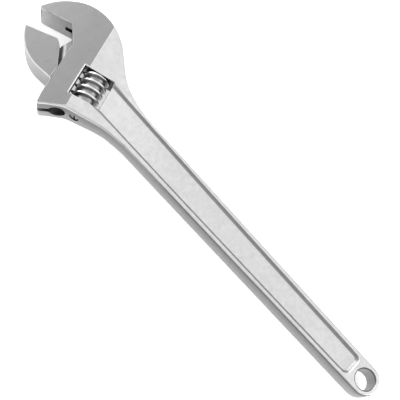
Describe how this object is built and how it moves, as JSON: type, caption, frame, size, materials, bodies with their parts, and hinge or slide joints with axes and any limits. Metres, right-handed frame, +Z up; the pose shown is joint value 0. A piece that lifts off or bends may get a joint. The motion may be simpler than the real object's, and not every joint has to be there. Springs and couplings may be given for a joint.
{
  "type": "adjustable wrench",
  "caption": "Adjustable wrench with an I-section handle, a fixed jaw, and a sliding jaw whose racked rail is driven by a worm turned by the thumb.",
  "frame": {"origin": "bottom centre of the bounding box, on the surface that the wrench lies on", "axes": "+X along the handle from the jaws to the tail hole, +Y towards the back of the fixed jaw, +Z up through the thickness"},
  "size_m": [0.4542, 0.1088, 0.026],
  "materials": {
    "forged_steel": "satin nickel-chrome plate over forged steel, flats ground",
    "jaw_steel": "satin nickel-chrome plate, working faces ground",
    "worm_steel": "turned steel, darker in the grooves",
    "pin_steel": "turned steel, lightly oxidised",
    "spring_steel": "drawn spring wire"
  },
  "bodies": {
    "handle_and_fixed_jaw": {"body": "forged_steel", "worm_pin": "pin_steel", "worm_spring": "spring_steel"},
    "sliding_jaw": {"movable_jaw": "jaw_steel"},
    "thumb_worm": {"worm": "worm_steel"}
  },
  "joints": [
    {"name": "jaw_slide", "type": "slide", "parent": "handle_and_fixed_jaw", "child": "sliding_jaw", "axis": [-0.3827, 0.9239, 0], "range_m": [-0.0323, 0.0206]},
    {"name": "worm_spin", "type": "hinge", "parent": "handle_and_fixed_jaw", "child": "thumb_worm", "pos_m": [-0.13554, -0.00574, 0.013], "axis": [-0.3827, 0.9239, 0], "range_deg": [-1000, 1560]}
  ],
  "couplings": [
    {"joint": "worm_spin", "follows": "jaw_slide", "rad_per_m": -837.76}
  ]
}
